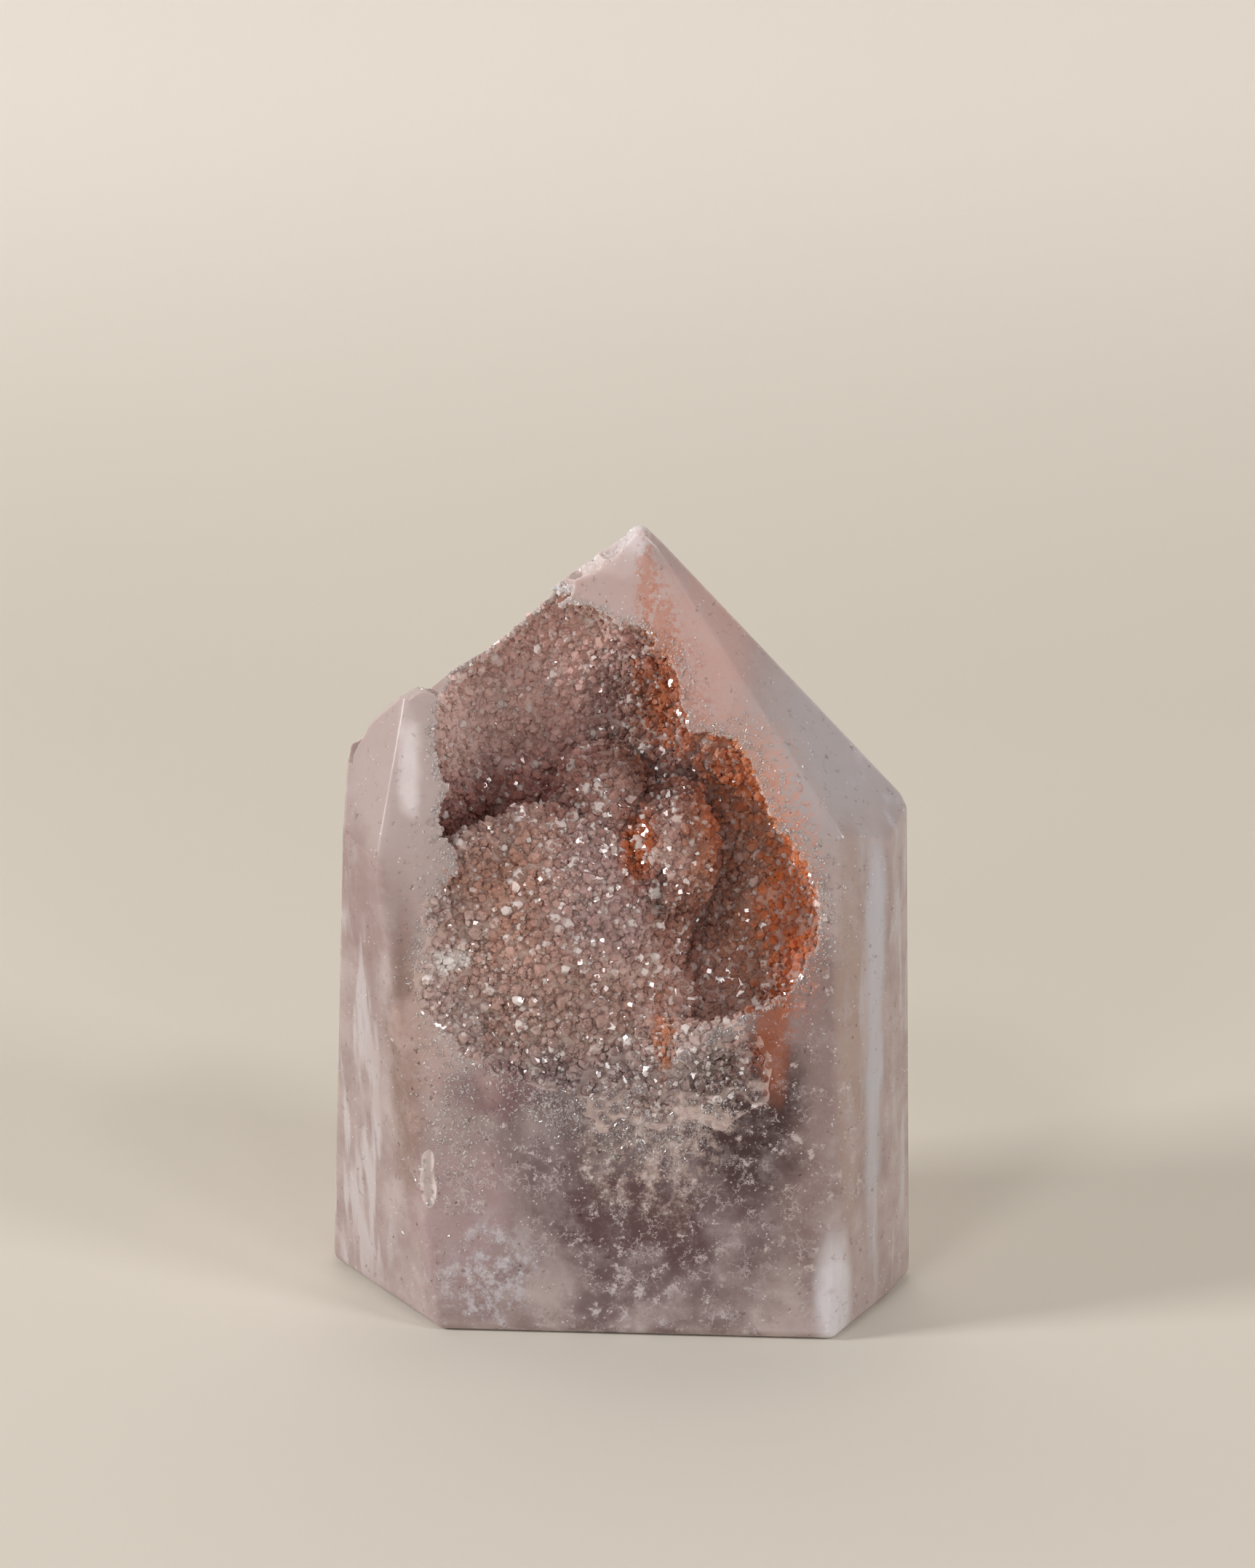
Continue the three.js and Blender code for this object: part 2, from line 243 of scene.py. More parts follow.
# Colour zones of the druse, as those of the stone.
DRUSE_ZONES = (
    # Paler than the crystals' own colour: partly painted light, for the glow that shines through the stone
    # onto the back wall.
    ("back, upper left", "#f2c6bd", 0.85, (-9, 10, 57), (8, 6, 6), 0.5, 0.5),
    ("lumps", "#a68077", 0.9, (0.8, 4, 42.5), (7, 7, 6.5), 0.4, 0.4),
    # Painted shade: the recess behind the far lump is coloured dark.
    ("painted shade behind the far lump", "#75534c", 0.8, (3, 9, 46), (5, 5, 4), 0.5, 0.4),
    ("deep back", "#b67e75", 0.9, (-8, 9, 45), (11, 5, 5), 0.5, 0.5),
    # These back wall zones too are partly painted light, for the glow that shines through the stone.
    ("back, middle", "#caa4a4", 0.8, (1, 11, 52), (5, 5, 7), 0.5, 0.5),
    ("back, left", "#edc6be", 0.85, (-8, 12, 52.5), (5, 5, 5), 0.5, 0.5),
    ("back, far left", "#f0d0c8", 0.9, (-14, 10, 52), (4, 5, 6), 0.5, 0.4),
    # Darker partly from the druse's deeper tone and partly as painted shade in the deep recess behind the
    # crest.
    ("back, right", "#85604f", 0.8, (0.6, 9.5, 51), (4, 5, 5.5), 0.5, 0.4),
    ("stained mass", "#b38573", 0.7, (-12, -3, 39), (6, 5, 6), 0.5, 0.7),
    ("lilac mass", "#b19391", 0.7, (-2, -2, 38), (5, 5, 6), 0.5, 0.6),
    ("dark channel", "#b4877b", 0.8, (7, 1, 34), (4, 5, 7), 0.5, 0.5),
    ("foot of the mass", "#a5877e", 0.7, (-6, -5, 27), (9, 5, 5), 0.5, 0.7),
    ("below the near lump", "#94695c", 0.85, (5.0, -1.5, 36.8), (2.7, 4, 3.2), 0.4, 0.5),
    # Painted shade: the crevice beside the mass is coloured near black.
    ("painted shade in the crevice beside the mass", "#4a2f29", 0.8, (2.7, -1.5, 39.8), (0.5, 4, 2.2), 0.6, 0.9),
    ("pale beads", "#c9b8b1", 0.6, (5.5, -6, 26), (3.5, 3, 3.5), 0.5, 1.0),
)
# Middle, radii, softness and break-up of the parts where the druse takes the colours of the polished front.
FADES_TO_POLISHED = (
    ((-1, -8, 20.5), (20, 4, 10), 0.4, 0.5),
    ((-17, -6, 29), (4.5, 4, 12), 0.5, 0.9),
    ((-18.4, 0, 48), (3.4, 8, 12), 0.3, 0.2),
)
FADE_SHARE = 0.85
# Crystals that are whiter than the rest, where light catches a broken or fresh surface.
WHITE_ZONES = (
    ("pale ledge", "#fbf3f0", 0.95, (-15.3, -4.2, 33.4), (1.9, 2.6, 1.5), 0.3, 0.6),
    ("white chip", "#ddd4d3", 0.9, (-17.6, -7.0, 14.6), (1.6, 2.4, 4), 0.2, 0.0),
    ("broken rim", "#fdf8f6", 0.95, (-6.8, 3.4, 64.4), (3.7, 2.6, 1.9), 0.2, 0.4),
)
# Iron stain that runs down the right lip and wall of the hollow.
IRON_ZONES = (
    ("stained wall", "#cd8f6d", 0.85, (11.4, 0, 43.5), (5, 8, 13), 0.5, 0.5),
    ("beside the apex line", "#c26e46", 0.9, (1.6, 2.0, 66), (0.7, 3, 3.4), 0.4, 1.1),
    ("on the lip", "#c26e46", 0.9, (2.9, 1.0, 60.5), (1.1, 3, 4.5), 0.4, 1.1),
    ("upper wall", "#bd6a42", 0.85, (3.8, 6, 54), (3.2, 8, 6), 0.4, 0.9),
    ("right wall", "#f0935e", 0.92, (10.2, 1, 47.5), (4.1, 8, 6.3), 0.5, 0.4),
    ("rim", "#f08850", 0.95, (13.6, -2, 38.5), (2.6, 7, 8), 0.5, 0.9),
    ("tail", "#934725", 0.98, (12.3, -5, 29), (1.8, 5, 5.6), 0.4, 0.7),
    ("near lump", "#a9552c", 0.98, (0.9, -1, 43.6), (1.7, 4, 4), 0.5, 0.2),
    ("stain on the foot", "#c47648", 0.7, (3.2, -5, 27.5), (0.9, 3, 3.5), 0.5, 1.1),
)
RUST_ON_POLISH = 0.45  # how strongly it shows in the polished skin
# How far light travels in the crystals by colour, as shares of the longest way: nearly white.
CLEAR_TINT = (1.0, 0.95, 0.92)

# The materials' places in a mesh: polished stone, large crystals, fine points and the sugary rim.
POLISHED, DRUSE, POINTS, EDGE = range(4)


def rgb(hex_colour):
    """sRGB hex to linear red, green, blue and alpha."""
    channels = [int(hex_colour[i:i + 2], 16) / 255 for i in (1, 3, 5)]
    return tuple(c / 12.92 if c <= 0.04045 else ((c + 0.055) / 1.055) ** 2.4 for c in channels) + (1.0,)


def facet_normal(turn, lean):
    """The way out of a facet, from its turn and lean in degrees."""
    a, e = math.radians(turn), math.radians(lean)
    return Vector((math.sin(a) * math.cos(e), -math.cos(a) * math.cos(e), math.sin(e)))


def swell(d):
    """Unevenness of a rounded body in the direction d from its middle."""
    ripple = (math.sin(5.1 * d.x + 1.3) * math.sin(4.3 * d.y + 0.4)
              + math.sin(6.2 * d.z + 2.1) * math.sin(3.7 * d.x))
    return 1 + WALL_RIPPLE * ripple


def faceted_block(inset):
    """The stone with sharp edges, every facet moved in by inset."""
    bm = bmesh.new()
    bmesh.ops.create_cube(bm, size=BLOCK * MM)
    for _, turn, lean, reach in FACETS:
        normal = facet_normal(turn, lean)
        cut = bmesh.ops.bisect_plane(
            bm, geom=bm.verts[:] + bm.edges[:] + bm.faces[:], dist=CUT_GAP,
            plane_co=normal * (reach - inset) * MM, plane_no=normal, clear_outer=True)
        rim = [g for g in cut["geom_cut"] if isinstance(g, bmesh.types.BMEdge)]
        if rim:
            bmesh.ops.holes_fill(bm, edges=rim, sides=0)
    return bm


def mesh_object(name, bm, slot):
    """An object of the finished mesh, all in one of the stone's materials."""
    mesh = bpy.data.meshes.new(name)
    bm.to_mesh(mesh)
    bm.free()
    obj = bpy.data.objects.new(name, mesh)
    bpy.context.scene.collection.objects.link(obj)
    for material in MATERIALS:
        mesh.materials.append(material)
    mesh.polygons.foreach_set("material_index", [slot] * len(mesh.polygons))
    return obj


def polished_body():
    """A ball on every corner, the skin over all of them, and its flat facets divided into even cells."""
    core = faceted_block(EDGE_ROUND)
    bm = bmesh.new()
    for corner in core.verts:
        bmesh.ops.create_icosphere(
            bm, subdivisions=BALL_STEPS, radius=EDGE_ROUND * MM, matrix=Matrix.Translation(corner.co))
    core.free()
    bmesh.ops.delete(bm, geom=bm.edges[:] + bm.faces[:], context="EDGES_FACES")
    hull = bmesh.ops.convex_hull(bm, input=bm.verts[:])
    bmesh.ops.delete(bm, geom=list(set(hull["geom_interior"] + hull["geom_unused"])), context="VERTS")
    bmesh.ops.dissolve_limit(bm, angle_limit=math.radians(FLAT_WITHIN), verts=bm.verts[:], edges=bm.edges[:])
    low = Vector(map(min, *(v.co for v in bm.verts)))
    high = Vector(map(max, *(v.co for v in bm.verts)))
    for axis in range(3):
        cells = math.ceil((high[axis] - low[axis]) / (CELL * MM))
        normal = Vector([float(i == axis) for i in range(3)])
        for k in range(1, cells):
            point = low + normal * k * (high[axis] - low[axis]) / cells
            bmesh.ops.bisect_plane(
                bm, geom=bm.verts[:] + bm.edges[:] + bm.faces[:], dist=CUT_GAP,
                plane_co=point, plane_no=normal)
    for face in bm.faces:
        face.smooth = True
    return mesh_object("amethyst_tower", bm, POLISHED)


def rounded_body(name, at, size, grow, slot, steps=WALL_STEPS, rough=0.0, rng=None):
    """A rounded, slightly swollen body around a middle in millimetres; rough makes its face sugary."""
    bm = bmesh.new()
    bmesh.ops.create_icosphere(bm, subdivisions=steps, radius=1.0)
    radii = Vector(size) + Vector((grow, grow, grow))
    for vert in bm.verts:
        d = vert.co.normalized()
        place = Vector(at) + d * radii * swell(d)
        relief = sum(height * noise.noise(place / width) for width, height in WALL_RELIEF)
        jitter = rng.uniform(-rough, rough) if rough else 0.0
        vert.co = (place + d * (relief + jitter)) * MM
    for face in bm.faces:
        face.smooth = not rough
    return mesh_object(name, bm, slot)


def combine(obj, others, operation):
    """Joins or cuts obj with each of the others in turn, and removes them."""
    for other in others:
        modifier = obj.modifiers.new(other.name, "BOOLEAN")
        modifier.operation = operation
        modifier.solver = "MANIFOLD"
        modifier.object = other
    graph = bpy.context.evaluated_depsgraph_get()
    mesh = bpy.data.meshes.new_from_object(obj.evaluated_get(graph))
    obj.modifiers.clear()
    old, obj.data = obj.data, mesh
    bpy.data.meshes.remove(old)
    for other in others:
        data = other.data
        bpy.data.objects.remove(other)
        bpy.data.meshes.remove(data)
    return obj


def hollow(grow):
    """The hollow's air: all the chambers together, less the lumps that the druse has grown over."""
    air = [rounded_body(name, at, size, grow, DRUSE) for name, at, size in CHAMBERS[:-1]]
    air.append(rounded_body(*CHAMBERS[-1], grow, DRUSE, PATCH_STEPS))
    air.append(rounded_body(*SHALLOW_PATCH, 0, DRUSE, PATCH_STEPS))
    lumps = [rounded_body(name, at, size, -grow, DRUSE) for name, at, size in LUMPS]
    return combine(combine(air[0], air[1:], "UNION"), lumps, "DIFFERENCE")


def outside(rounded, point):
    """Roughly how far a point lies outside a rounded body, in millimetres."""
    _, at, size = rounded
    local = Vector([(p - a) / s for p, a, s in zip(point, at, size)])
    return (local.length / swell(local.normalized()) - 1) * min(size)


def beside_hollow(point):
    """Roughly how far a point lies outside the hollow's chambers."""
    return min(outside(chamber, point) for chamber in CHAMBERS)


def inside_polish(point, margin):
    """True where the point, in millimetres, lies inside every facet by the margin."""
    return all(facet_normal(turn, lean).dot(point) < reach - margin for _, turn, lean, reach in FACETS)


class Spacing:
    """Points that keep their distance, looked up by the cell that they lie in."""

    def __init__(self, cell):
        self.cell = cell
        self.cells = {}

    def key(self, point):
        """The cell that the point lies in."""
        return tuple(math.floor(c / self.cell) for c in point)

    def is_free(self, point, reach):
        """True where nothing that was added comes nearer than both reaches."""
        i, j, k = self.key(point)
        for a in (i - 1, i, i + 1):
            for b in (j - 1, j, j + 1):
                for c in (k - 1, k, k + 1):
                    for other, its_reach in self.cells.get((a, b, c), ()):
                        if (point - other).length < reach + its_reach:
                            return False
        return True

    def add(self, point, reach):
        self.cells.setdefault(self.key(point), []).append((point, reach))


class Wall:
    """The triangles of one material that lie inside the polish by a margin, to pick points on them evenly."""

    def __init__(self, obj, side, slot=DRUSE, margin=INSIDE_POLISH):
        mesh = obj.data
        mesh.calc_loop_triangles()
        self.corners, self.sums, self.area = [], [], 0.0
        for triangle in mesh.loop_triangles:
            if triangle.material_index != slot:
                continue
            corners = [mesh.vertices[i].co / MM for i in triangle.vertices]
            if inside_polish(sum(corners, Vector()) / 3, margin):
                self.area += triangle.area / MM ** 2
                self.corners.append((corners, side * triangle.normal))
                self.sums.append(self.area)

    def points(self, count, rng):
        """Places on the triangles, spread by their area, each with the way it faces."""
        for (a, b, c), normal in rng.choices(self.corners, cum_weights=self.sums, k=round(count)):
            u, v = sorted((rng.random(), rng.random()))
            yield a * u + b * (v - u) + c * (1 - v), normal


def leaning(normal, tilt, rng):
    """The way out of the wall, tilted at random as crystals are."""
    return (normal + Vector([rng.gauss(0, tilt) for _ in range(3)])).normalized()


def crystal_sites(air, horn, rng):
    """Root point, direction and radius of every crystal on the hollow's wall, large ones first."""
    wall, teeth = Wall(air, -1), Wall(horn, 1)
    sites = []
    taken = Spacing(2 * CRYSTAL_SIZES[0][0])
    for radius, tries in CRYSTAL_SIZES:
        spots = [(p, n) for p, n in wall.points(wall.area * tries, rng)
                 if outside(GROUND_AWAY, p) > GROUND_GAP or outside(HORN, p) < HORN_DEPTH]
        spots += [(p, n) for p, n in teeth.points(teeth.area * tries, rng)
                  if p.x > HORN_TEETH_FROM and beside_hollow(p) > TEETH_GAP]
        for point, normal in spots:
            size = radius * rng.uniform(*CRYSTAL_SPREAD)
            if taken.is_free(point, size * CRYSTAL_CROWDING):
                taken.add(point, size * CRYSTAL_CROWDING)
                sites.append((point, leaning(normal, CRYSTAL_TILT, rng), size))
    return sites


def pit_sites(body, rng):
    """Sites of small pits in the polished skin, pointing inwards. Some lie far from the hollow."""
    skin = Wall(body, -1, POLISHED, SKIN)
    sites = []
    while len(sites) < PITS:
        for point, normal in skin.points(PITS, rng):
            way = beside_hollow(point)
            belt = LOWER_PIT_BELT if point.z < LOWER_FROM and point.y < 0 else PIT_BELT
            chance = math.exp(-way / belt) + STRAY_PITS
            if way > PIT_GAP and outside(HORN, point) > 0 and rng.random() < chance:
                size = rng.uniform(*PIT_RADIUS)
                sites.append((point - normal * size * PIT_LIFT, leaning(normal, PIT_TILT, rng), size))
    return sites[:PITS]


def rim_sites(stone, rng):
    """Sites of the crystals along the hollow's rim, and where its druse runs out in the polished skin."""
    skin = Wall(stone, 1, POLISHED, SKIN)
    sites = []
    while len(sites) < RIM_POINTS:
        for point, normal in skin.points(RIM_POINTS, rng):
            if point.z < RIM_LOWEST:
                continue
            way = beside_hollow(point)
            on_lip = point.x > LIP_FROM.x and point.z > LIP_FROM.z
            chance = math.exp(-max(way, 0.0) / (LIP_BELT if on_lip else RIM_BELT))
            for body in RUN_OUTS:
                chance = max(chance, math.exp(-max(outside(body, point), 0.0) / RUN_OUT_BELT))
            if rng.random() < chance:
                size = rng.uniform(*RIM_RADIUS)
                sites.append((point - normal * size * RIM_SINK, leaning(normal, RIM_TILT, rng), size))
    return sites[:RIM_POINTS]


def largest_part(obj):
    """Drops the crumbs that the cuts have left."""
    bm = bmesh.new()
    bm.from_mesh(obj.data)
    parts, seen = [], set()
    for first in bm.verts:
        if first in seen:
            continue
        part, front = {first}, [first]
        while front:
            for edge in front.pop().link_edges:
                for vert in edge.verts:
                    if vert not in part:
                        part.add(vert)
                        front.append(vert)
        seen |= part
        parts.append(part)
    parts.sort(key=len)
    bmesh.ops.delete(bm, geom=[v for part in parts[:-1] for v in part], context="VERTS")
    bm.to_mesh(obj.data)
    bm.free()


def crystal_shape(rng):
    """A six-sided quartz crystal of radius 1. Three of its end faces have outgrown those between them."""
    bm = bmesh.new()
    bmesh.ops.create_cone(
        bm, cap_ends=True, segments=6, radius1=1, radius2=1, depth=CRYSTAL_ROOT + CRYSTAL_TIP,
        matrix=Matrix.Translation((0, 0, (CRYSTAL_TIP - CRYSTAL_ROOT) / 2)))
    lean = math.radians(TIP_SLOPE)
    for k in range(6):
        turn = math.tau * (k + 0.5) / 6
        normal = Vector((math.cos(turn) * math.sin(lean), math.sin(turn) * math.sin(lean), math.cos(lean)))
        top = CRYSTAL_TIP * rng.uniform(*(LESSER_FACES if k % 2 else MAIN_FACES))
        cut = bmesh.ops.bisect_plane(
            bm, geom=bm.verts[:] + bm.edges[:] + bm.faces[:], dist=1e-5,
            plane_co=Vector((0, 0, top)), plane_no=normal, clear_outer=True)
        rim = [g for g in cut["geom_cut"] if isinstance(g, bmesh.types.BMEdge)]
        bmesh.ops.holes_fill(bm, edges=rim, sides=0)
    mesh = bpy.data.meshes.new("crystal_shape")
    bm.to_mesh(mesh)
    bm.free()
    return mesh


def fine_shape(rng):
    """A small quartz point of radius 1. Three end faces make it look like the corner of a cube."""
    bm = bmesh.new()
    bmesh.ops.create_cube(bm, size=math.sqrt(1.5))
    corner_up = Vector((1, 1, 1)).rotation_difference(Vector((0, 0, 1))).to_matrix()
    uneven = Matrix.Diagonal([rng.uniform(*FINE_UNEVEN) for _ in range(3)])
    for vert in bm.verts:
        vert.co = corner_up @ (uneven @ vert.co)
        vert.co.z *= FINE_STRETCH
    mesh = bpy.data.meshes.new("fine_shape")
    bm.to_mesh(mesh)
    bm.free()
    return mesh


def crystals(name, sites, shapes, slot, rng):
    """Crystals joined in one mesh. Each has a value of its own for its colour."""
    verts, faces, values = [], [], []
    for point, axis, size in sites:
        shape = rng.choice(shapes)
        turn = axis.to_track_quat("Z", "Y") @ Quaternion((0, 0, 1), rng.uniform(0, math.tau))
        place = Matrix.LocRotScale(point * MM, turn, Vector((size, size, size)) * MM)
        start = len(verts)
        verts.extend(place @ v.co for v in shape.vertices)
        faces.extend([start + i for i in p.vertices] for p in shape.polygons)
        values.extend([rng.uniform(*GRAIN)] * len(shape.polygons))
    mesh = bpy.data.meshes.new(name)
    mesh.from_pydata(verts, [], faces)
    mesh.attributes.new("grain", "FLOAT", "FACE").data.foreach_set("value", values)
    for material in MATERIALS:
        mesh.materials.append(material)
    mesh.polygons.foreach_set("material_index", [slot] * len(mesh.polygons))
    obj = bpy.data.objects.new(name, mesh)
    bpy.context.scene.collection.objects.link(obj)
    return obj


def layered(sites):
    """The crystals' sites in a few lists, with no two crystals of a list touching each other."""
    layers = []
    for point, axis, size in sites:
        middle = point + axis * size * (CRYSTAL_TIP - CRYSTAL_ROOT) / 2
        reach = size * CRYSTAL_REACH + LAYER_AIR
        for members, spacing in layers:
            if spacing.is_free(middle, reach):
                break
        else:
            members, spacing = [], Spacing(2.2 * CRYSTAL_SIZES[0][0] * CRYSTAL_REACH)
            layers.append((members, spacing))
        spacing.add(middle, reach)
        members.append((point, axis, size))
    return [members for members, _ in layers]


def standing_points(wall, count, radius, rng):
    """Sites of points that stand free on the druse, inside the polish with their tips as well."""
    sites = []
    for point, normal in wall.points(count * POINTS_SPARE, rng):
        size = rng.uniform(*radius)
        axis = leaning(normal, CRYSTAL_TILT, rng)
        if inside_polish(point + axis * size * CRYSTAL_TIP, size * TIP_GAP):
            sites.append((point, axis, size))
    return sites[:count]


def add(tree, kind, links=(), **settings):
    """Adds a node with its settings; a link's value is either a number, a colour or another node's output."""
    made = tree.nodes.new(kind)
    for name, value in settings.items():
        setattr(made, name, value)
    for key, value in dict(links).items():
        if isinstance(value, bpy.types.NodeSocket):
            tree.links.new(value, made.inputs[key])
        else:
            made.inputs[key].default_value = value
    return made


def stone_places(tree):
    """The surface's place in millimetres, measured as the facets are."""
    here = add(tree, "ShaderNodeTexCoord").outputs["Object"]
    return add(tree, "ShaderNodeMapping", {
        "Vector": here, "Location": tuple(-c / MM for c in shift), "Scale": (1 / MM,) * 3}).outputs["Vector"]


def specks(tree, place, width, detail=2.0, roughness=0.5, stretch=(1, 1, 1)):
    """Cloudy noise from 0 to 1 whose clouds are width millimetres wide, drawn out by stretch."""
    scaled = add(tree, "ShaderNodeMapping", {
        "Vector": place, "Scale": tuple(1 / (width * s) for s in stretch)}).outputs["Vector"]
    return add(tree, "ShaderNodeTexNoise", {
        "Vector": scaled, "Scale": 1.0, "Detail": detail, "Roughness": roughness}).outputs["Fac"]


def ramp(tree, value, low, high, to_low=0.0, to_high=1.0):
    """A soft step of the value from low to high."""
    return add(tree, "ShaderNodeMapRange", {
        "Value": value, "From Min": low, "From Max": high, "To Min": to_low, "To Max": to_high},
        interpolation_type="SMOOTHSTEP").outputs["Result"]


def times(tree, a, b):
    """Two masks, or a mask and a strength, multiplied."""
    return add(tree, "ShaderNodeMath", {0: a, 1: b}, operation="MULTIPLY").outputs["Value"]


def painted(tree, under, over, factor):
    """One colour laid over another where the factor is high."""
    return add(tree, "ShaderNodeMix", {
        "Factor": factor, "A": under, "B": over}, data_type="RGBA").outputs["Result"]


def zone(tree, place, edge_noise, centre, radii, soft, broken):
    """From 0 outside to 1 inside a rounded region, with an edge as soft and as broken up as asked."""
    inside = add(tree, "ShaderNodeMapping", {
        "Vector": place, "Location": centre, "Scale": radii}, vector_type="TEXTURE").outputs["Vector"]
    far = add(tree, "ShaderNodeVectorMath", {0: inside}, operation="LENGTH").outputs["Value"]
    far = add(tree, "ShaderNodeMath", {
        0: edge_noise, 1: broken, 2: far}, operation="MULTIPLY_ADD").outputs["Value"]
    middle = 1 + broken / 2
    return ramp(tree, far, middle + soft, middle - soft)


def paint_zones(tree, colour, place, edge_noise, zones, share=1.0):
    """The colour with every zone of a table laid over it, at a share of its strength."""
    for _, hex_colour, strength, centre, radii, soft, broken in zones:
        mask = zone(tree, place, edge_noise, centre, radii, soft, broken)
        colour = painted(tree, colour, rgb(hex_colour), times(tree, mask, strength * share))
    return colour


def set_up(name, roughness, scatter, radius, scale):
    """A quartz material: its gloss, and how much light it scatters, in what tint and how many mm far."""
    material = bpy.data.materials.new(name)
    material.use_nodes = True
    shader = material.node_tree.nodes["Principled BSDF"]
    shader.inputs["Roughness"].default_value = roughness
    shader.inputs["IOR"].default_value = QUARTZ_IOR
    shader.inputs["Subsurface Weight"].default_value = scatter
    shader.inputs["Subsurface Radius"].default_value = radius
    shader.inputs["Subsurface Scale"].default_value = scale * MM
    return material, material.node_tree, shader


def ruffled(tree, shader, height, distance):
    """Unevenness of the polish, distance millimetres high."""
    bump = add(tree, "ShaderNodeBump", {"Height": height, "Distance": distance * MM, "Strength": 1.0})
    tree.links.new(bump.outputs["Normal"], shader.inputs["Normal"])


def stone_colour(tree, place, cloud):
    """Lilac to pink milky amethyst with darker clear parts, white clouds and mossy flecks."""
    colour = painted(tree, rgb("#a48f8c"), rgb("#bcaba8"), cloud)
    colour = paint_zones(tree, colour, place, cloud, POLISHED_ZONES)
    # Milky wisps, and streaks six times as long as wide.
    haze = ramp(tree, specks(tree, place, width=2.4, detail=8.0, roughness=0.72), 0.45, 0.7, 0, 0.28)
    colour = painted(tree, colour, rgb("#c9bcbd"), haze)
    streaks = specks(tree, place, width=1.6, detail=3.0, roughness=0.5, stretch=(1, 1, 6))
    for _, hex_colour, low, high, strength, centre, radii, soft, broken in STREAKS:
        here = zone(tree, place, cloud, centre, radii, soft, broken)
        shown = times(tree, here, ramp(tree, streaks, low, high, 0, strength))
        colour = painted(tree, colour, rgb(hex_colour), shown)
    # Flecks about a tenth of a millimetre wide, in clouds of 1.3 mm.
    flecks = specks(tree, place, width=1.3, detail=9.0, roughness=0.8)
    for _, hex_colour, low, high, centre, radii, soft, broken in MOSS:
        here = zone(tree, place, cloud, centre, radii, soft, broken)
        shown = times(tree, here, ramp(tree, flecks, low, high))
        colour = painted(tree, colour, rgb(hex_colour), shown)
    # Veins follow the noise where it is halfway, and show in patches.
    veins = specks(tree, place, width=1.5, detail=9.0, roughness=0.68)
    lines = add(tree, "ShaderNodeMath", {0: veins, 1: 0.5, 2: VEIN_WIDTH}, operation="COMPARE")
    patches = ramp(tree, specks(tree, place, width=2.8, detail=3.0), 0.46, 0.56, 0, 0.65)
    front = times(tree, zone(tree, place, cloud, *VEINED_FRONT), patches)
    colour = painted(tree, colour, rgb("#d0c3c2"), times(tree, front, lines.outputs["Value"]))
    # Dark grime in the finest pores.
    grime = ramp(tree, specks(tree, place, width=0.9, detail=7.0, roughness=0.78), 0.42, 0.34, 0, 0.5)
    return painted(tree, colour, rgb("#5d4644"), grime)


def rusty(tree, colour, place):
    """The iron stain where it shows faintly in the polished skin."""
    rust = ramp(tree, specks(tree, place, width=0.5, detail=4.0, roughness=0.75), 0.4, 0.62)
    return paint_zones(tree, colour, place, rust, IRON_ZONES[1:], RUST_ON_POLISH)


def polished_amethyst():
    """Milky amethyst, sawn and polished: a glossy skin over a cloudy, slightly see-through stone."""
    material, tree, shader = set_up(
        "polished_milky_amethyst", roughness=0.24, scatter=0.7, radius=(1.0, 0.75, 0.7), scale=0.8)
    place = stone_places(tree)
    cloud = broad_cloud(tree, place)
    colour = rusty(tree, stone_colour(tree, place, cloud), place)
    # Painted glints: white dots 0.1 to 0.2 mm wide, for light caught in tiny pits of the polish, about half a
    # millimetre apart where they are common.
    glint_dots = add(tree, "ShaderNodeTexVoronoi", {"Vector": place, "Scale": 1 / 0.55}).outputs["Distance"]
    rare = ramp(tree, specks(tree, place, width=1.7, detail=2.0), 0.52, 0.6, 0, 0.7)
    colour = painted(tree, colour, rgb("#efe6e6"), times(tree, ramp(tree, glint_dots, 0.2, 0.08), rare))
    tree.links.new(colour, shader.inputs["Base Color"])
    # Hand polish leaves the facets faintly wavy.
    ruffled(tree, shader, specks(tree, place, width=7.0, detail=1.0), 0.12)
    return material


def broad_cloud(tree, place):
    """The milky clouds of the stone, about 5 mm wide."""
    return ramp(tree, specks(tree, place, width=5.0, detail=4.0, roughness=0.55), 0.3, 0.7)


def edge_crystals():
    """Fine quartz that the polish has cut into along the hollow: the stone's own colour, only paler."""
    material, tree, shader = set_up(
        "sugary_quartz_edge", roughness=0.1, scatter=0.4, radius=CLEAR_TINT, scale=0.5)
    place = stone_places(tree)
    colour = rusty(tree, stone_colour(tree, place, broad_cloud(tree, place)), place)
    grain = add(tree, "ShaderNodeAttribute", attribute_name="grain").outputs["Fac"]
    colour = painted(tree, colour, rgb("#f4ebe8"), ramp(tree, grain, 0.1, 1.0, 0.1, 0.6))
    tree.links.new(colour, shader.inputs["Base Color"])
    return material


